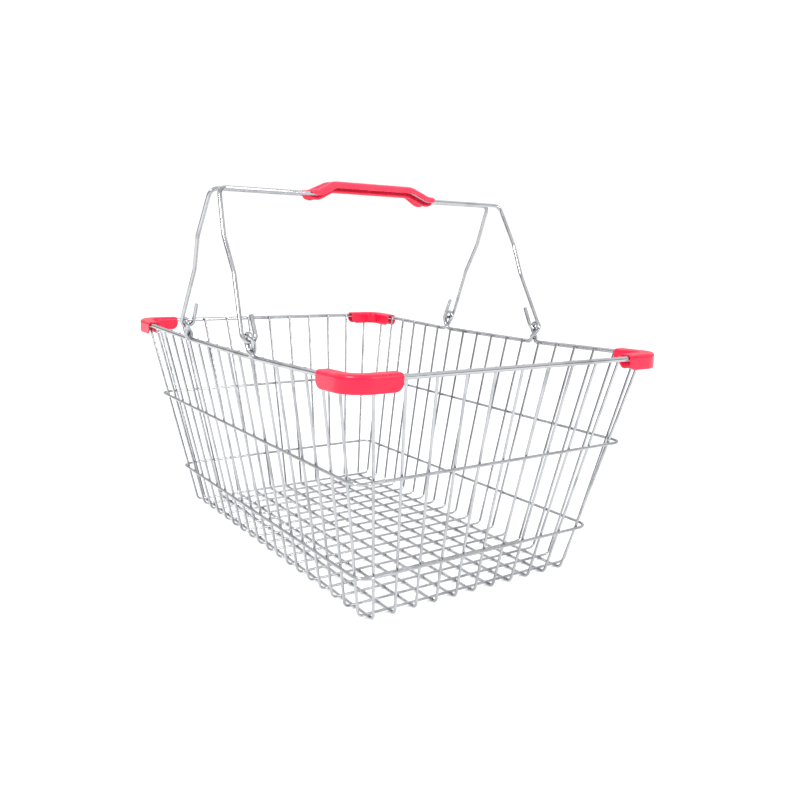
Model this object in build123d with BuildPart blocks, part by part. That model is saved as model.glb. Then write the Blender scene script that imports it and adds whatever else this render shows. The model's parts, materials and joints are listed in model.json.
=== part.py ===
from build123d import *
from math import acos, asin, atan2, cos, degrees, radians, sin, tan
import os

# Wire shopping basket with two folding bail handles. Millimetres, +Z up, X along the length.
# The origin is the middle of the basket's footprint, on the surface that it stands on.

# overall sizes, between wire centres
rim_length = 430.0
rim_width = 293.0
rim_height = 189.7
base_length = 337.8
base_width = 212.6

# wire diameters, and the air left where two wires are welded side by side
rim_wire_dia = 4.0
hoop_wire_dia = 2.6
mesh_wire_dia = 2.2
handle_wire_dia = 3.4
weld_gap = 0.04

# mesh: U-shaped wires across the basket and along it, both fanning out towards the rim
cross_count = 18
cross_base_pitch = 19.2
cross_rim_pitch = 22.9
long_count = 11
long_base_pitch = 19.3
long_rim_pitch = 25.6
mesh_bend = 5.0

# rim and hoops; the rim's long sides run down from the corners to the eyelets by the dip
rim_corner = 17.0
rim_dip = 3.7
hoop_corner = 11.0
upper_hoop_height = 115.8
lower_hoop_height = 39.4

# eyelets: loops curled in the rim wire, two on each long side
eyelet_x = 68.5
eyelet_loop = 4.9
eyelet_cross = 5.1
eyelet_splay = 55.0
strand_gap = 0.3

# handles: measured in the plane of the handle, from the hinge axis
handle_reach = 131.4
hook_radius = 5.8
hook_tail = 22.0
hook_seat = 1.1
leg_jog_low = 57.0
leg_jog_high = 88.6
leg_jog_in = 4.7
leg_jog_out = 2.0
leg_top_in = 7.1
leg_bend = 14.0
top_bend = 7.0

# grips: open channels clipped over the raised middle of each handle
grip_half = 65.0
grip_flat_half = 41.0
grip_slope_half = 57.0
grip_raise = 8.6
grip_bend = 12.0
grip_radius = 5.2
grip_wall = 2.2
grip_skirt = 2.9
grip_meet_gap = 0.3

# corner guards
guard_along_x = 40.0
guard_along_y = 38.0
guard_wall = 1.4
guard_drop = 9.2
guard_fit = 0.1
guard_round = 2.4
guard_end_round = 5.5

# slopes of the walls, where the mesh legs stand at a given height, and how far the rim dips
cross_floor = 1.5 * mesh_wire_dia + weld_gap
long_floor = 0.5 * mesh_wire_dia
rim_touch = (rim_wire_dia + mesh_wire_dia) / 2 + weld_gap
hoop_touch = (hoop_wire_dia + mesh_wire_dia) / 2 + weld_gap


def wall_slope(rim_half, base_half, floor):
    """Angle of a wall from upright, so that its legs lie against the inside of the rim wire."""
    run, rise = rim_half - base_half, rim_height - floor
    return asin((run - rim_touch * rise / (run**2 + rise**2) ** 0.5) / (run**2 + rise**2) ** 0.5)


def leg_at(base_half, floor, slope, height):
    return base_half + (height - floor) * tan(slope)


def rim_drop(along):
    """How far the rim's long sides lie below its corners, at a place along the basket."""
    run = rim_length / 2 - eyelet_x - eyelet_half
    return rim_dip * max(0.0, min(1.0, (rim_length / 2 - abs(along)) / run))


def on_rim(along, side):
    """Point of a long side's wire, which dips in the plane of the wall."""
    drop = rim_drop(along)
    return (along, side * (rim_width / 2 - drop * tan(side_slope)), rim_height - drop)


# eyelets: middle of the loop above the rim, and half of the eyelet's width at its feet
eyelet_rise = eyelet_cross + eyelet_loop / cos(radians(eyelet_splay))
eyelet_half = eyelet_cross / tan(radians(eyelet_splay))

side_slope = wall_slope(rim_width / 2, base_width / 2, cross_floor)
end_slope = wall_slope(rim_length / 2, base_length / 2, long_floor)
leg_top = rim_height + rim_wire_dia / 2 - mesh_wire_dia / 4

# eyelets lean out with the side walls
hinge_rise = eyelet_rise - hook_seat
hinge_y = on_rim(eyelet_x, 1)[1] + hinge_rise * sin(side_slope)
hinge_z = on_rim(eyelet_x, 1)[2] + hinge_rise * cos(side_slope)

# handles lean in until their grips meet over the middle of the basket
wire_in_grip = grip_radius - grip_wall - handle_wire_dia / 2 - weld_gap
grip_reach = handle_reach + grip_raise - wire_in_grip
handle_lean = degrees(asin((eyelet_x - grip_radius - grip_meet_gap / 2) / grip_reach))


def bent_path(points, radii):
    """Straight runs joined by tangent arcs, with one radius for each inner point."""
    runs = [Vector(p) for p in points]
    ends = [runs[0]]
    arcs = []
    for before, here, after, radius in zip(runs, runs[1:], runs[2:], radii):
        back, ahead = (before - here).normalized(), (after - here).normalized()
        half = acos(max(-1.0, min(1.0, back.dot(ahead)))) / 2
        reach = radius / tan(half)
        middle = here + (back + ahead).normalized() * (radius / sin(half) - radius)
        arcs.append((here + back * reach, middle, here + ahead * reach))
        ends.append(here + ahead * reach)
    with BuildLine() as path:
        for start, arc in zip(ends, arcs):
            if (arc[0] - start).length > 1e-3:
                Line(start, arc[0])
            ThreePointArc(*arc)
        if (runs[-1] - ends[-1]).length > 1e-3:
            Line(ends[-1], runs[-1])
    return path.wires()[0]


def wire_section(path, diameter):
    """Round section at the start of a path."""
    with BuildSketch(Plane(origin=path @ 0, z_dir=path % 0)) as section:
        Circle(diameter / 2)
    return section.sketch


def save(part, name):
    part.label = name
    export_step(part, f"parts/{name}.step")


def make_mesh_wire(name, base_half, height, floor, slope, base_along, rim_along, turned):
    """One U of the mesh: two legs that lean out and fan apart, and a run across the floor."""
    rise = height - floor
    fan = (rim_along - base_along) * rise / (rim_height - floor)
    top = (base_along + fan, base_half + rise * tan(slope), height)
    low = (base_along, base_half, floor)
    points = [(top[0], -top[1], top[2]), (low[0], -low[1], low[2]), low, top]
    if turned:
        points = [(y, x, z) for x, y, z in points]
    path = bent_path(points, [mesh_bend, mesh_bend])
    with BuildPart() as wire:
        add(wire_section(path, mesh_wire_dia))
        sweep(path=path)
    save(wire.part, name)


def make_hoop(name, height):
    """Closed hoop around the outside of the mesh."""
    half_x = leg_at(base_length / 2, long_floor, end_slope, height) + hoop_touch / cos(end_slope)
    half_y = leg_at(base_width / 2, cross_floor, side_slope, height) + hoop_touch / cos(side_slope)
    points = [
        (0, -half_y, height),
        (half_x, -half_y, height),
        (half_x, half_y, height),
        (-half_x, half_y, height),
        (-half_x, -half_y, height),
        (0, -half_y, height),
    ]
    path = bent_path(points, [hoop_corner] * 4)
    with BuildPart() as hoop:
        add(wire_section(path, hoop_wire_dia))
        sweep(path=path)
    save(hoop.part, name)


def eyelet_points(side_x, side_y):
    """Corner points and bend radii of one eyelet, from its foot nearer the middle of the basket."""
    splay = radians(eyelet_splay)
    shift = (rim_wire_dia + strand_gap) / 2
    sides = 8
    arc = radians(180 + 2 * eyelet_splay)
    corner = eyelet_loop / cos(arc / sides / 2)
    flat = [(eyelet_half, 0.0, 0.0), (0.0, eyelet_cross, -shift)]
    for k in range(sides):
        along = (k + 0.5) / sides
        angle = splay - radians(90) + arc * along
        lift = eyelet_rise + corner * sin(angle)
        flat.append((-corner * cos(angle), lift, shift * (1.2 * along - 0.6)))
    flat += [(0.0, eyelet_cross, shift), (-eyelet_half, 0.0, 0.0)]
    strand = (eyelet_half**2 + eyelet_cross**2 + shift**2) ** 0.5
    # the foot's bend takes about 0.6 of the straight strand, and the neck's about 0.2
    foot, neck = 0.6 * strand / tan(splay / 2 + 0.1), 0.9 * strand
    radii = [foot, neck] + [eyelet_loop * 0.97] * sides + [neck, foot]
    foot_y, foot_z = on_rim(eyelet_x, 1)[1:]
    points = []
    for along, lift, across in flat:
        out = lift * sin(side_slope) + across * cos(side_slope)
        up = lift * cos(side_slope) - across * sin(side_slope)
        points.append((side_x * (eyelet_x - along), side_y * (foot_y + out), foot_z + up))
    return points, radii


def make_rim():
    """Rim wire: a rounded rectangle with four eyelets curled into its long sides."""
    half_x, half_y = rim_length / 2, rim_width / 2
    points, radii = [on_rim(0, -1)], []
    for side_x, side_y in ((1, -1), (1, 1), (-1, 1), (-1, -1)):
        eyelet, bends = eyelet_points(side_x, side_y)
        corner = [(side_x * half_x, side_y * half_y, rim_height)]
        outward = side_x * side_y < 0
        points += eyelet + corner if outward else corner + eyelet[::-1]
        radii += bends + [rim_corner] if outward else [rim_corner] + bends[::-1]
    points.append(on_rim(0, -1))
    path = bent_path(points, radii)
    with BuildPart() as rim_wire:
        for edge in path.edges():
            bent = edge.geom_type == GeomType.CIRCLE
            outward = edge @ 0 - edge.arc_center if bent else Vector(0, 0, 1)
            with BuildSketch(Plane(origin=edge @ 0, x_dir=outward, z_dir=edge % 0)):
                Circle(rim_wire_dia / 2)
            sweep(path=edge)
    save(rim_wire.part, "rim_wire")


def handle_place(side):
    """Plane of a leaning handle: its x along the basket's Y, its y from the hinge to the grip."""
    lean = radians(handle_lean)
    normal = (side * cos(lean), 0, sin(lean))
    return Plane(origin=(side * eyelet_x, 0, hinge_z), x_dir=(0, side, 0), z_dir=normal)


def handle_half():
    """Points of one half of a handle from the tail of its hook to the start of its grip."""
    outside, inside = hinge_y + hook_radius, hinge_y - hook_radius
    points = [
        (inside, hook_tail),
        (inside, 0),
        (outside, 0),
        (outside - leg_jog_in, leg_jog_low),
        (outside - leg_jog_in + leg_jog_out, leg_jog_high),
        (outside - leg_top_in, handle_reach),
    ]
    near_round = hook_radius * 0.94
    return points, [near_round, near_round, leg_bend, leg_bend, top_bend]


def grip_line():
    """Points and bend radii of the raised middle, from one side to the other."""
    top = handle_reach + grip_raise
    points = [
        (grip_slope_half, handle_reach),
        (grip_flat_half, top),
        (-grip_flat_half, top),
        (-grip_slope_half, handle_reach),
    ]
    return points, [grip_bend] * 4


def make_handle(name, side):
    place = handle_place(side)
    half, bends = handle_half()
    middle, middle_bends = grip_line()
    flat = half + middle + [(-across, up) for across, up in half[::-1]]
    radii = bends + middle_bends + bends[::-1]
    path = bent_path([place.from_local_coords((a, b, 0)) for a, b in flat], radii)
    with BuildPart() as handle:
        add(wire_section(path, handle_wire_dia))
        sweep(path=path)
    save(handle.part, name)


def make_grip(name, side):
    place = handle_place(side)
    middle, bends = grip_line()
    flat = [(grip_half, handle_reach)] + middle + [(-grip_half, handle_reach)]
    path = bent_path([place.from_local_coords((a, b, 0)) for a, b in flat], bends)
    bore = grip_radius - grip_wall
    with BuildPart() as grip:
        with BuildSketch(Plane(origin=path @ 0, x_dir=place.z_dir, z_dir=path % 0)):
            with Locations((0, -wire_in_grip)):
                Circle(grip_radius)
                with Locations((0, -grip_skirt / 2)):
                    Rectangle(2 * grip_radius, grip_skirt)
                with Locations((0, -grip_skirt - grip_radius)):
                    Rectangle(2 * grip_radius, 2 * grip_radius, mode=Mode.SUBTRACT)
                Circle(bore, mode=Mode.SUBTRACT)
                with Locations((0, -grip_radius)):
                    Rectangle(2 * bore, 2 * grip_radius, mode=Mode.SUBTRACT)
        sweep(path=path)
    save(grip.part, name)


def guard_section():
    """Half-turned channel: outer wall, top and inner wall, open below, around the rim and the legs."""
    outside = rim_wire_dia / 2 + guard_fit
    lean = guard_drop * tan(max(side_slope, end_slope))
    inside = rim_touch / cos(end_slope) + lean + mesh_wire_dia / 2 + 3 * guard_fit
    return outside, inside


def make_guard(name, side_x, side_y):
    outside, inside = guard_section()
    top = rim_wire_dia / 2 + guard_fit
    points = [
        on_rim(rim_length / 2 - guard_along_x, 1),
        (rim_length / 2, rim_width / 2, rim_height),
        (rim_length / 2, rim_width / 2 - guard_along_y, rim_height),
    ]
    path = bent_path(points, [rim_corner])
    with BuildPart() as guard:
        with BuildSketch(Plane(origin=path @ 0, x_dir=(0, 1, 0), z_dir=path % 0)) as section:
            width = outside + inside + 2 * guard_wall
            height = top + guard_wall + guard_drop
            middle = (outside - inside) / 2
            with Locations((middle, (top + guard_wall - guard_drop) / 2)):
                Rectangle(width, height)
            fillet(section.vertices().group_by(Axis.Z)[-1], guard_round)
            with Locations((middle, (top - guard_drop) / 2)):
                Rectangle(width - 2 * guard_wall, top + guard_drop, mode=Mode.SUBTRACT)
        sweep(path=path)
        round_end = guard_end_round
        end, floor = rim_length / 2 - guard_along_x, points[0][2] - guard_drop
        with BuildSketch(Plane.XZ.offset(-rim_width / 2)):
            with Locations((end, floor)):
                Rectangle(2 * round_end, 2 * round_end)
            with Locations((end + round_end, floor + round_end)):
                Circle(round_end, mode=Mode.SUBTRACT)
        extrude(amount=2 * (inside + outside), both=True, mode=Mode.SUBTRACT)
        end, floor = rim_width / 2 - guard_along_y, rim_height - guard_drop
        with BuildSketch(Plane.YZ.offset(rim_length / 2)):
            with Locations((end, floor)):
                Rectangle(2 * round_end, 2 * round_end)
            with Locations((end + round_end, floor + round_end)):
                Circle(round_end, mode=Mode.SUBTRACT)
        extrude(amount=2 * (inside + outside), both=True, mode=Mode.SUBTRACT)
    placed = guard.part
    if side_x < 0:
        placed = mirror(placed, about=Plane.YZ, mode=Mode.PRIVATE)
    if side_y < 0:
        placed = mirror(placed, about=Plane.XZ, mode=Mode.PRIVATE)
    save(placed, name)


os.makedirs("parts", exist_ok=True)

make_rim()
make_hoop("upper_hoop", upper_hoop_height)
make_hoop("lower_hoop", lower_hoop_height)

for i in range(cross_count):
    step = i - (cross_count - 1) / 2
    make_mesh_wire(
        f"cross_wire_{i + 1:02d}",
        base_width / 2,
        leg_top - rim_drop(step * cross_rim_pitch),
        cross_floor,
        side_slope,
        step * cross_base_pitch,
        step * cross_rim_pitch,
        False,
    )

for j in range(long_count):
    step = j - (long_count - 1) / 2
    make_mesh_wire(
        f"long_wire_{j + 1:02d}",
        base_length / 2,
        leg_top,
        long_floor,
        end_slope,
        step * long_base_pitch,
        step * long_rim_pitch,
        True,
    )

for side_x, x_name in ((1, "right"), (-1, "left")):
    make_handle(f"handle_{x_name}", side_x)
    make_grip(f"grip_{x_name}", side_x)
    for side_y, y_name in ((-1, "front"), (1, "back")):
        make_guard(f"corner_guard_{x_name}_{y_name}", side_x, side_y)
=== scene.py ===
import json
import math
import random

import bpy
from mathutils import Matrix, Vector


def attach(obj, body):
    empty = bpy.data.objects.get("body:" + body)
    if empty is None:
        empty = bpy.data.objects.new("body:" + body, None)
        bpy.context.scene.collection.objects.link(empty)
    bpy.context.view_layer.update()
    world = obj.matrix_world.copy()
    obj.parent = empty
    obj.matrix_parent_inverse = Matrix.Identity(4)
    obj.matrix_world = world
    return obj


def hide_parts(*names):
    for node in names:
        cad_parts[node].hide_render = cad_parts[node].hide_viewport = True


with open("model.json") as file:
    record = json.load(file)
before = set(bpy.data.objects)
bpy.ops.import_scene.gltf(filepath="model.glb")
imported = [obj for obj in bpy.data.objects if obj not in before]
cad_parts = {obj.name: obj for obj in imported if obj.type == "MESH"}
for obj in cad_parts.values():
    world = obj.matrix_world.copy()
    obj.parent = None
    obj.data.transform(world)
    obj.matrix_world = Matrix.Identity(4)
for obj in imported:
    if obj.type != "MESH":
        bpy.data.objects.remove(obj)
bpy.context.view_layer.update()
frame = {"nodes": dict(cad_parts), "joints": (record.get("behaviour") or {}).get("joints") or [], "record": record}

MM = 0.001

# driving sizes of the CAD part, in millimetres
RIM_LENGTH, RIM_WIDTH, RIM_HEIGHT, RIM_DIP = 430.0, 293.0, 189.7, 3.7
BASE_LENGTH, BASE_WIDTH = 337.8, 212.6
RIM_WIRE, MESH_WIRE, HANDLE_WIRE = 4.0, 2.2, 3.4
WELD_GAP, GUARD_FIT = 0.04, 0.1
CROSS_COUNT, CROSS_BASE_PITCH, CROSS_RIM_PITCH = 18, 19.2, 22.9
LONG_COUNT, LONG_BASE_PITCH, LONG_RIM_PITCH = 11, 19.3, 25.6
HOOP_HEIGHTS = (115.8, 39.4)
RIM_CORNER, EYELET_X = 17.0, 68.5
EYELET_HALF = 3.57
HANDLE_REACH = 131.4
LEAN = math.radians(27.08)
RIM_TOUCH = (RIM_WIRE + MESH_WIRE) / 2 + WELD_GAP
CROSS_FLOOR, LONG_FLOOR = 1.5 * MESH_WIRE + WELD_GAP, 0.5 * MESH_WIRE

# hinge places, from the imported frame
HINGE = {j["child"]: Vector(j["pos_m"]) / MM for j in frame["joints"]}

# points of the half circle that rounds each lip of a lofted channel, less one
LIP_STEPS = 4


# ---------------------------------------------------------------- materials


class Nodes:
    """A material's node tree, with the object's own coordinates in metres."""

    def __init__(self, name):
        self.material = bpy.data.materials.new(name)
        self.material.use_nodes = True
        self.tree = self.material.node_tree
        self.shader = self.tree.nodes["Principled BSDF"]
        self.coords = self.tree.nodes.new("ShaderNodeTexCoord")

    def noise(self, scale, detail=3.0, roughness=0.55):
        noise = self.tree.nodes.new("ShaderNodeTexNoise")
        noise.inputs["Scale"].default_value = scale
        noise.inputs["Detail"].default_value = detail
        noise.inputs["Roughness"].default_value = roughness
        self.link(self.coords.outputs["Object"], noise.inputs["Vector"])
        return noise.outputs["Fac"]

    def spots(self, scale):
        cells = self.tree.nodes.new("ShaderNodeTexVoronoi")
        cells.inputs["Scale"].default_value = scale
        self.link(self.coords.outputs["Object"], cells.inputs["Vector"])
        return cells.outputs["Distance"]

    def ramp(self, value, stops):
        ramp = self.tree.nodes.new("ShaderNodeValToRGB")
        line = ramp.color_ramp
        while len(line.elements) < len(stops):
            line.elements.new(0.5)
        for element, (place, colour) in zip(line.elements, stops):
            element.position = place
            element.color = (*colour, 1) if len(colour) == 3 else (colour[0],) * 3 + (1,)
        self.link(value, ramp.inputs["Fac"])
        return ramp.outputs["Color"]

    def bump(self, value, strength, distance, after=None):
        bump = self.tree.nodes.new("ShaderNodeBump")
        bump.inputs["Strength"].default_value = strength
        bump.inputs["Distance"].default_value = distance
        self.link(value, bump.inputs["Height"])
        if after:
            self.link(after, bump.inputs["Normal"])
        return bump.outputs["Normal"]

    def link(self, a, b):
        self.tree.links.new(a, b)

    def into(self, name, value):
        self.link(value, self.shader.inputs[name])


def plated_wire(name, light, dark, rough):
    """Bright zinc-nickel plate on drawn wire: cloudy colour, fine pits and dull patches."""
    n = Nodes(name)
    n.shader.inputs["Metallic"].default_value = 1.0
    cloud = n.noise(45, 4)
    n.into("Base Color", n.ramp(cloud, [(0.3, dark), (0.5, light), (0.72, light)]))
    dull = n.noise(160, 5, 0.65)
    n.into("Roughness", n.ramp(dull, [(0.3, (rough * 0.6,)), (0.7, (rough * 1.6,))]))
    draw = n.bump(n.noise(260, 2, 0.5), 0.12, 0.00005)
    n.into("Normal", n.bump(n.spots(1500), 0.08, 0.00002, draw))
    return n.material


def moulded_red(name, colour, shade, rough):
    """Soft PVC, dip-moulded: faint flow clouds, orange-peel gloss and tiny scuffs."""
    n = Nodes(name)
    cloud = n.noise(28, 3)
    n.into("Base Color", n.ramp(cloud, [(0.25, shade), (0.55, colour), (0.8, colour)]))
    dull = n.noise(120, 4, 0.6)
    n.into("Roughness", n.ramp(dull, [(0.3, (rough * 0.75,)), (0.75, (rough * 1.35,))]))
    n.shader.inputs["Specular IOR Level"].default_value = 0.36
    n.shader.inputs["Coat Weight"].default_value = 0.12
    n.shader.inputs["Coat Roughness"].default_value = 0.2
    peel = n.bump(n.noise(150, 2, 0.4), 0.10, 0.0002)
    n.into("Normal", n.bump(n.noise(1800, 2, 0.5), 0.10, 0.00004, peel))
    return n.material


CHROME = {
    "rim_chrome": plated_wire("rim_plate", (0.44, 0.45, 0.47), (0.30, 0.31, 0.33), 0.13),
    "hoop_chrome": plated_wire("hoop_plate", (0.41, 0.42, 0.44), (0.28, 0.29, 0.31), 0.15),
    "mesh_chrome": plated_wire("mesh_plate", (0.43, 0.44, 0.46), (0.29, 0.30, 0.32), 0.16),
    "handle_chrome": plated_wire("handle_plate", (0.44, 0.45, 0.47), (0.30, 0.31, 0.33), 0.12),
}
RED = {
    "guard_red": moulded_red("guard_plastic", (0.80, 0.004, 0.046), (0.70, 0.002, 0.036), 0.32),
    "grip_red": moulded_red("grip_plastic", (0.84, 0.022, 0.066), (0.74, 0.012, 0.048), 0.36),
}
SLOT = {s["node"]: s["material_slot"] for s in frame["record"]["subparts"]}
for node, shown in frame["nodes"].items():
    shown.data.materials.clear()
    shown.data.materials.append({**CHROME, **RED}[SLOT[node]])


# ---------------------------------------------------------------- mesh helpers


def new_piece(name, body, material, verts, faces):
    """Smooth-shaded mesh from points in millimetres, riding on a CAD body."""
    mesh = bpy.data.meshes.new(name)
    mesh.from_pydata([Vector(v) * MM for v in verts], [], faces)
    mesh.validate()
    mesh.polygons.foreach_set("use_smooth", [True] * len(mesh.polygons))
    mesh.materials.append(material)
    piece = bpy.data.objects.new(name, mesh)
    bpy.context.scene.collection.objects.link(piece)
    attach(piece, body)
    return piece


def along(points, steps):
    """Evenly spaced points on a polyline."""
    spans = [(b - a).length for a, b in zip(points, points[1:])]
    total, out = sum(spans), []
    for k in range(steps + 1):
        left, i = total * k / steps, 0
        while i < len(spans) - 1 and left > spans[i]:
            left -= spans[i]
            i += 1
        out.append(points[i].lerp(points[i + 1], min(1.0, left / spans[i])))
    return out


def rounded(points, radii, step=0.7):
    """Polyline with its corners turned by arcs."""
    out = [points[0]]
    for before, here, after, radius in zip(points, points[1:], points[2:], radii):
        back, ahead = (before - here).normalized(), (after - here).normalized()
        if (back + ahead).length < 1e-4:
            out.append(here)
            continue
        half = back.angle(ahead) / 2
        reach = radius / math.tan(half)
        centre = here + (back + ahead).normalized() * (radius / math.sin(half))
        start, end = here + back * reach, here + ahead * reach
        turns = max(3, int(radius * (math.pi - 2 * half) / step))
        for k in range(turns + 1):
            arm = (start - centre).slerp(end - centre, k / turns)
            out.append(centre + arm.normalized() * radius)
    return out + [points[-1]]


def wall_loop(line, thickness):
    """Closed outline of a wall of one thickness that follows a 2-D line, with round lips."""
    half = thickness / 2
    tangents = []
    for i in range(len(line)):
        a, b = line[max(0, i - 1)], line[min(len(line) - 1, i + 1)]
        tangents.append((b - a).normalized())
    normals = [Vector((-t.y, t.x)) for t in tangents]
    loop = [p + n * half for p, n in zip(line, normals)]
    for end, order in ((-1, 1), (0, -1)):
        n, t = normals[end] * order, tangents[end] * order
        for k in range(1, LIP_STEPS):
            angle = math.pi * k / LIP_STEPS
            loop.append(line[end] + (n * math.cos(angle) + t * math.sin(angle)) * half)
        if order == 1:
            loop += [p - m * half for p, m in zip(line[::-1], normals[::-1])]
    return loop


def loft(rings):
    """Quads between rings of equal length, open at both ends."""
    n = len(rings[0])
    verts = [v for ring in rings for v in ring]
    faces = []
    for r in range(len(rings) - 1):
        for k in range(n):
            a, b = r * n + k, r * n + (k + 1) % n
            faces.append((a, b, b + n, a + n))
    return verts, faces, n


def rounding(distance, reach):
    """Height of a quarter circle, 0 at an end and 1 from a reach onwards."""
    return math.sqrt(max(0.0, 1 - max(0.0, 1 - distance / reach) ** 2))


def end_strips(rings, n, wall):
    """Faces across the wall at the first and last ring, from lip to lip."""
    faces = []
    for base, flip in ((0, False), ((len(rings) - 1) * n, True)):
        for k in range(wall - 1):
            a, b = base + k, base + k + 1
            d = base + 2 * wall - 1 - k + LIP_STEPS - 1
            c = d - 1
            faces.append((a, d, c, b) if not flip else (a, b, c, d))
        lip = list(range(base + wall - 1, base + wall + LIP_STEPS))
        faces.append(tuple(lip if flip else lip[::-1]))
        lip = list(range(base + 2 * wall + LIP_STEPS - 2, base + n)) + [base]
        faces.append(tuple(lip if flip else lip[::-1]))
    return faces


# ---------------------------------------------------------------- corner guards

GUARD_X, GUARD_Y = 40.0, 38.0
GUARD_WALL, GUARD_DROP = 1.4, 9.2
GUARD_TOP = GUARD_OUT = RIM_WIRE / 2 + GUARD_FIT + GUARD_WALL / 2
GUARD_END = 6.5
GUARD_BEND = 1.9
GUARD_SOFT_LENGTH, GUARD_SOFT_DROP = 1.6, 0.7
GUARD_THIN_LENGTH, GUARD_THIN_SHARE = 0.6, 0.62
GUARD_STEPS, GUARD_POINTS = 180, 40


def wall_tilt(rim_half, base_half, floor):
    """Outward slope of a mesh wall whose legs touch the rim from inside."""
    run, rise = rim_half - base_half, RIM_HEIGHT - floor
    far = math.hypot(run, rise)
    return math.asin((run - RIM_TOUCH * rise / far) / far)


SIDE_TILT = wall_tilt(RIM_WIDTH / 2, BASE_WIDTH / 2, CROSS_FLOOR)
END_TILT = wall_tilt(RIM_LENGTH / 2, BASE_LENGTH / 2, LONG_FLOOR)


def rim_drop(x):
    """How far the rim's long sides have dipped at a place along the length."""
    run = RIM_LENGTH / 2 - EYELET_X - EYELET_HALF
    return RIM_DIP * max(0.0, min(1.0, (RIM_LENGTH / 2 - abs(x)) / run))


def guard_rings():
    """Rings of the guard at the +X +Y corner."""
    start = RIM_LENGTH / 2 - GUARD_X
    drop = rim_drop(start)
    route = [
        Vector((start, RIM_WIDTH / 2 - drop * math.tan(SIDE_TILT), RIM_HEIGHT - drop)),
        Vector((RIM_LENGTH / 2, RIM_WIDTH / 2, RIM_HEIGHT)),
        Vector((RIM_LENGTH / 2, RIM_WIDTH / 2 - GUARD_Y, RIM_HEIGHT)),
    ]
    path = rounded(route, [RIM_CORNER], 0.5)
    line = along(path, GUARD_STEPS)
    length = sum((b - a).length for a, b in zip(line, line[1:]))
    spread = RIM_TOUCH / math.cos(END_TILT) + GUARD_DROP * math.tan(END_TILT)
    inside = -(spread + MESH_WIRE / 2 + 3 * GUARD_FIT + GUARD_WALL / 2)
    rings = []
    for k, at in enumerate(line):
        ahead = (line[min(GUARD_STEPS, k + 1)] - line[max(0, k - 1)]).normalized()
        outward = ahead.cross(Vector((0, 0, 1))).normalized()
        if outward.dot(Vector((1, 1, 0))) < 0:
            outward = -outward
        from_end = min(k, GUARD_STEPS - k) / GUARD_STEPS * length
        floor = -GUARD_DROP + GUARD_WALL / 2 + GUARD_END * (1 - rounding(from_end, GUARD_END))
        top = GUARD_TOP - GUARD_SOFT_DROP * (1 - rounding(from_end, GUARD_SOFT_LENGTH))
        corners = [
            Vector((inside, floor)),
            Vector((inside, top)),
            Vector((GUARD_OUT, top)),
            Vector((GUARD_OUT, floor)),
        ]
        section = along(rounded(corners, [GUARD_BEND] * 2, 0.2), GUARD_POINTS - 1)
        share = rounding(from_end, GUARD_THIN_LENGTH)
        thin = GUARD_WALL * (GUARD_THIN_SHARE + (1 - GUARD_THIN_SHARE) * share)
        loop = wall_loop(section, thin)
        rings.append([at + outward * p.x + Vector((0, 0, 1)) * p.y for p in loop])
    return rings


def make_guards():
    """The lofted guard, mirrored to the rim's four corners."""
    rings = guard_rings()
    verts, faces, n = loft(rings)
    faces = faces + end_strips(rings, n, GUARD_POINTS)
    for x_name, sx in (("right", 1), ("left", -1)):
        for y_name, sy in (("front", -1), ("back", 1)):
            placed = [Vector((v.x * sx, v.y * sy, v.z)) for v in verts]
            turned = faces if sx * sy > 0 else [f[::-1] for f in faces]
            name = f"corner_guard_{x_name}_{y_name}"
            piece = new_piece(
                "cover_" + name, "basket", RED["guard_red"], placed, turned
            )
            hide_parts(name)


# ---------------------------------------------------------------- grips

GRIP_HALF, GRIP_FLAT, GRIP_SLOPE, GRIP_RAISE, GRIP_BEND = 65.0, 41.0, 57.0, 8.6, 12.0
GRIP_RADIUS, GRIP_WALL, GRIP_SKIRT = 5.2, 2.2, 2.9
WIRE_IN_GRIP = GRIP_RADIUS - GRIP_WALL - HANDLE_WIRE / 2 - WELD_GAP
GRIP_TAPER_LENGTH, GRIP_TAPER = 14, 0.16
GRIP_NOSE_LENGTH, GRIP_NOSE_SHARE = 2.4, 0.72
GRIP_SKIRT_LENGTH, GRIP_SKIRT_LOSS = 7, 0.75
GRIP_STEPS, GRIP_POINTS, ARCH_STEPS = 160, 26, 24


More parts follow.
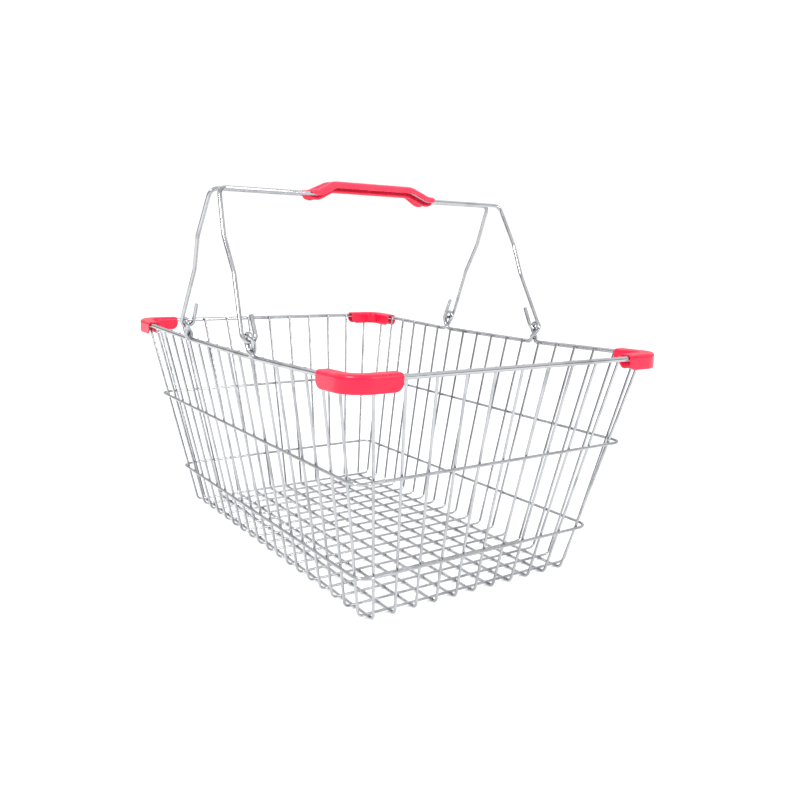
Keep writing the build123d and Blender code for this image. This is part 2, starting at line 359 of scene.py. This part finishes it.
def grip_rings():
    """Rings of a grip in the plane of its handle: along Y, up from the hinge, across."""
    top = HANDLE_REACH + GRIP_RAISE
    route = [
        Vector((-GRIP_HALF, HANDLE_REACH, 0)),
        Vector((-GRIP_SLOPE, HANDLE_REACH, 0)),
        Vector((-GRIP_FLAT, top, 0)),
        Vector((GRIP_FLAT, top, 0)),
        Vector((GRIP_SLOPE, HANDLE_REACH, 0)),
        Vector((GRIP_HALF, HANDLE_REACH, 0)),
    ]
    path = rounded(route, [GRIP_BEND] * 4, 0.5)
    line = along(path, GRIP_STEPS)
    length = sum((b - a).length for a, b in zip(line, line[1:]))
    middle = GRIP_RADIUS - GRIP_WALL / 2
    rings = []
    for k, at in enumerate(line):
        ahead = (line[min(GRIP_STEPS, k + 1)] - line[max(0, k - 1)]).normalized()
        up = Vector((-ahead.y, ahead.x, 0))
        from_end = min(k, GRIP_STEPS - k) / GRIP_STEPS * length
        nose = rounding(from_end, GRIP_NOSE_LENGTH)
        nose_share = GRIP_NOSE_SHARE + (1 - GRIP_NOSE_SHARE) * nose
        slim = 1 - GRIP_TAPER * max(0.0, 1 - from_end / GRIP_TAPER_LENGTH) ** 1.5
        slim *= nose_share
        loss = GRIP_SKIRT_LOSS * max(0.0, 1 - from_end / GRIP_SKIRT_LENGTH) ** 2
        skirt = GRIP_SKIRT * (1 - loss) - GRIP_WALL / 2
        arch = [
            Vector((middle * math.cos(a), middle * math.sin(a)))
            for a in (math.pi * j / ARCH_STEPS for j in range(ARCH_STEPS + 1))
        ]
        section = [Vector((middle, -skirt))] + arch + [Vector((-middle, -skirt))]
        section = along(section, GRIP_POINTS - 1)
        thin = GRIP_WALL * nose_share
        ring = []
        for p in wall_loop(section, thin):
            lift = p.y * slim - WIRE_IN_GRIP * slim
            ring.append(at + up * lift + Vector((0, 0, 1)) * p.x * slim)
        rings.append(ring)
    return rings


def make_grips():
    """The lofted grip, placed on each leaning handle."""
    rings = grip_rings()
    verts, faces, n = loft(rings)
    faces = faces + end_strips(rings, n, GRIP_POINTS)
    for name, side in (("right", 1), ("left", -1)):
        hinge = HINGE[name + "_handle"]
        rise = Vector((-side * math.sin(LEAN), 0, math.cos(LEAN)))
        across = Vector((side * math.cos(LEAN), 0, math.sin(LEAN)))
        placed = [hinge + Vector((0, side, 0)) * v.x + rise * v.y + across * v.z for v in verts]
        piece = new_piece(
            "cover_grip_" + name, name + "_handle", RED["grip_red"], placed, faces
        )
        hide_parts("grip_" + name)


# ---------------------------------------------------------------- welds

LEG_BEAD, FLOOR_BEAD = (1.15, 0.62), (1.25, 0.55)
BEAD_RINGS, BEAD_SIDES, BEAD_UNEVEN = 5, 10, 0.12


def weld_bead(verts, faces, at, along_a, along_b, bead, seed):
    """Flattened bead squeezed out where two wires cross, a little uneven."""
    chance = random.Random(seed)
    normal = along_a.cross(along_b).normalized()
    width, depth = bead
    rings, sides = BEAD_RINGS, BEAD_SIDES
    base = len(verts)
    for r in range(1, rings):
        lat = math.pi * r / rings - math.pi / 2
        for k in range(sides):
            angle = 2 * math.pi * k / sides
            wide = width * (1 + chance.uniform(-BEAD_UNEVEN, BEAD_UNEVEN)) * math.cos(lat)
            verts.append(
                at
                + along_a * wide * math.cos(angle)
                + along_b * wide * math.sin(angle)
                + normal * depth * math.sin(lat)
            )
    verts += [at - normal * depth, at + normal * depth]
    south, north = len(verts) - 2, len(verts) - 1
    for r in range(rings - 2):
        for k in range(sides):
            a, b = base + r * sides + k, base + r * sides + (k + 1) % sides
            faces.append((a, b, b + sides, a + sides))
    for k in range(sides):
        a, b = base + k, base + (k + 1) % sides
        faces.append((south, b, a))
        top = base + (rings - 2) * sides
        faces.append((north, top + k, top + (k + 1) % sides))


def leg_place(step, base_pitch, rim_pitch, base_half, floor, tilt, height):
    """Place on a mesh leg's outer side at a height, and the leg's direction."""
    rise = RIM_HEIGHT - floor
    share = (height - floor) / rise
    aside = step * (base_pitch + (rim_pitch - base_pitch) * share)
    out = base_half + (height - floor) * math.tan(tilt)
    lean = Vector((step * (rim_pitch - base_pitch), rise * math.tan(tilt), rise))
    normal = Vector((0, math.cos(tilt), -math.sin(tilt)))
    return Vector((aside, out, height)) + normal * (MESH_WIRE / 2), lean.normalized()


def steps_of(count):
    """Steps of a row from its middle, such as -1.5, -0.5, 0.5 and 1.5."""
    return [i - (count - 1) / 2 for i in range(count)]


def leg_welds(verts, faces, seed):
    """Beads where the mesh legs touch the hoops and the rim; returns the next seed."""
    cross = (CROSS_COUNT, CROSS_BASE_PITCH, CROSS_RIM_PITCH, BASE_WIDTH / 2, CROSS_FLOOR, SIDE_TILT)
    long = (LONG_COUNT, LONG_BASE_PITCH, LONG_RIM_PITCH, BASE_LENGTH / 2, LONG_FLOOR, END_TILT)
    for (count, base_pitch, rim_pitch, *wall), turned in ((cross, False), (long, True)):
        for step in steps_of(count):
            top = RIM_HEIGHT - (0 if turned else rim_drop(step * rim_pitch))
            for height in (*HOOP_HEIGHTS, top):
                at, leg = leg_place(step, base_pitch, rim_pitch, *wall, height)
                for side in (-1, 1):
                    seed += 1
                    place = Vector((at.x, at.y * side, at.z))
                    down = Vector((leg.x, leg.y * side, leg.z))
                    level = Vector((1, 0, 0))
                    if turned:
                        place, down, level = place.yxz, down.yxz, level.yxz
                    down = (down - level * down.dot(level)).normalized()
                    weld_bead(verts, faces, place, level, down, LEG_BEAD, seed)
    return seed


def floor_welds(verts, faces, seed):
    """Beads where the floor's wires cross."""
    for across in steps_of(CROSS_COUNT):
        for back in steps_of(LONG_COUNT):
            seed += 1
            place = Vector(
                (across * CROSS_BASE_PITCH, back * LONG_BASE_PITCH, MESH_WIRE + WELD_GAP / 2)
            )
            level, ahead = Vector((1, 0, 0)), Vector((0, 1, 0))
            weld_bead(verts, faces, place, level, ahead, FLOOR_BEAD, seed)


def make_welds():
    """All weld beads as one mesh on the basket."""
    verts, faces = [], []
    seed = leg_welds(verts, faces, 0)
    floor_welds(verts, faces, seed)
    new_piece("weld_beads", "basket", CHROME["mesh_chrome"], verts, faces)


make_guards()
make_grips()
make_welds()


# ---------------------------------------------------------------- stage, lights and camera


def floor_disc():
    """Round pale floor that gives off a little light of its own, so shadows stay faint."""
    radius, sides = 9.0, 64
    mesh = bpy.data.meshes.new("studio_floor")
    turns = [math.tau * k / sides for k in range(sides)]
    ring = [(radius * math.cos(a), radius * math.sin(a), 0) for a in turns]
    mesh.from_pydata(ring, [], [tuple(range(sides))])
    floor = bpy.data.objects.new("studio_floor", mesh)
    bpy.context.scene.collection.objects.link(floor)
    n = Nodes("studio_paper")
    n.into("Base Color", n.ramp(n.noise(3, 2), [(0.3, (0.93,)), (0.7, (0.96,))]))
    n.shader.inputs["Roughness"].default_value = 0.95
    n.shader.inputs["Emission Color"].default_value = (1, 1, 1, 1)
    n.shader.inputs["Emission Strength"].default_value = 0.12
    mesh.materials.append(n.material)


def surroundings():
    """White backdrop to the camera; to everything else dark walls under a bright ceiling."""
    world = bpy.data.worlds.new("studio_world")
    bpy.context.scene.world = world
    world.use_nodes = True
    bpy.context.scene.view_settings.view_transform = "Standard"
    tree = world.node_tree
    coords = tree.nodes.new("ShaderNodeTexCoord")
    split = tree.nodes.new("ShaderNodeSeparateXYZ")
    ramp = tree.nodes.new("ShaderNodeValToRGB")
    tree.links.new(coords.outputs["Generated"], split.inputs["Vector"])
    tree.links.new(split.outputs["Z"], ramp.inputs["Fac"])
    ramp.color_ramp.elements[0].position = 0.0
    ramp.color_ramp.elements[0].color = (0.03, 0.03, 0.035, 1)
    ramp.color_ramp.elements[1].position = 0.42
    ramp.color_ramp.elements[1].color = (1, 1, 1, 1)
    room = tree.nodes["Background"]
    tree.links.new(ramp.outputs["Color"], room.inputs["Color"])
    room.inputs["Strength"].default_value = 1.2
    backdrop = tree.nodes.new("ShaderNodeBackground")
    backdrop.inputs["Strength"].default_value = 1.05
    path = tree.nodes.new("ShaderNodeLightPath")
    mix = tree.nodes.new("ShaderNodeMixShader")
    backdrop.inputs["Color"].default_value = (1, 1, 1, 1)
    tree.links.new(path.outputs["Is Camera Ray"], mix.inputs["Fac"])
    tree.links.new(room.outputs["Background"], mix.inputs[1])
    tree.links.new(backdrop.outputs["Background"], mix.inputs[2])
    tree.links.new(mix.outputs["Shader"], tree.nodes["World Output"].inputs["Surface"])


def lamp(name, place, aim, size, power):
    """Rectangular soft light turned to a point."""
    light = bpy.data.lights.new(name, "AREA")
    light.shape, light.size, light.size_y = "RECTANGLE", size[0], size[1]
    light.energy = power
    holder = bpy.data.objects.new(name, light)
    holder.location = place
    holder.rotation_euler = (Vector(aim) - Vector(place)).to_track_quat("-Z", "Y").to_euler()
    bpy.context.scene.collection.objects.link(holder)


def camera():
    """The photographed view: the near corner in front, the long side running off to the left."""
    turn, rise, roll = math.radians(55.4), math.radians(10.6), math.radians(1.49)
    distance, target = 0.7656, Vector((0.01372, 0.02949, 0.12915))
    level = math.cos(rise)
    back = Vector((math.sin(turn) * level, -math.cos(turn) * level, math.sin(rise)))
    data = bpy.data.cameras.new("camera")
    data.sensor_width, data.lens = 36.0, 36.12825
    data.clip_start, data.clip_end = 0.01, 60
    holder = bpy.data.objects.new("camera", data)
    bpy.context.scene.collection.objects.link(holder)
    holder.location = target + back * distance
    right = (-back).cross(Vector((0, 0, 1))).normalized()
    up = right.cross(-back)
    right, up = (
        right * math.cos(roll) + up * math.sin(roll),
        up * math.cos(roll) - right * math.sin(roll),
    )
    turned = Matrix((right, up, back)).transposed().to_4x4()
    holder.matrix_world = Matrix.Translation(holder.location) @ turned
    bpy.context.scene.camera = holder


floor_disc()
surroundings()
lamp("key", (0.5, -1.5, 1.6), (0, 0, 0.1), (0.5, 0.4), 24)
lamp("fill", (1.9, 0.7, 0.9), (0, 0, 0.15), (0.3, 0.7), 12)
camera()
